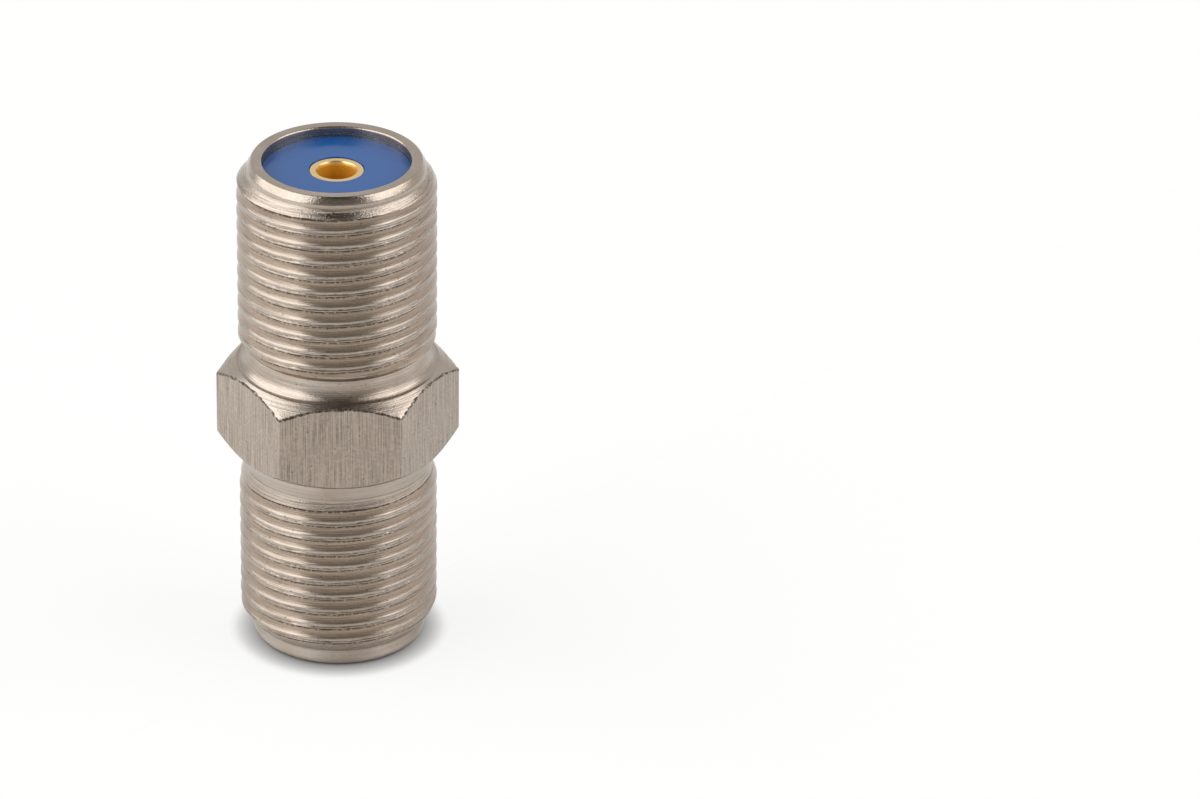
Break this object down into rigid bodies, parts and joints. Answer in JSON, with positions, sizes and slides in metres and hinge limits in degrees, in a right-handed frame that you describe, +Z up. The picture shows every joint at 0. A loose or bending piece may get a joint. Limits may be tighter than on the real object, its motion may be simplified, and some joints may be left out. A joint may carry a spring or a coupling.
{
  "type": "coaxial barrel connector",
  "caption": "Hexagonal threaded barrel that joins two coaxial cable plugs end to end, with a blue insulator and a gilt spring contact in each socket.",
  "frame": {"origin": "centre of the lower rim, in the plane that the connector stands on", "axes": "+Z up the barrel's axis towards the upper socket; -Y out of one flat of the hexagon"},
  "size_m": [0.0116, 0.01, 0.025],
  "materials": {
    "nickel": "turned brass with satin nickel plating",
    "blue_plastic": "moulded, satin",
    "gilt": "turned brass with gold plating",
    "spring_bronze": "stamped and formed spring bronze"
  },
  "bodies": {
    "root": {"body": "nickel", "insulator_bottom": "blue_plastic", "insulator_top": "blue_plastic", "contact_sleeve": "gilt", "spring_clip_bottom": "spring_bronze", "spring_clip_top": "spring_bronze"}
  },
  "joints": []
}
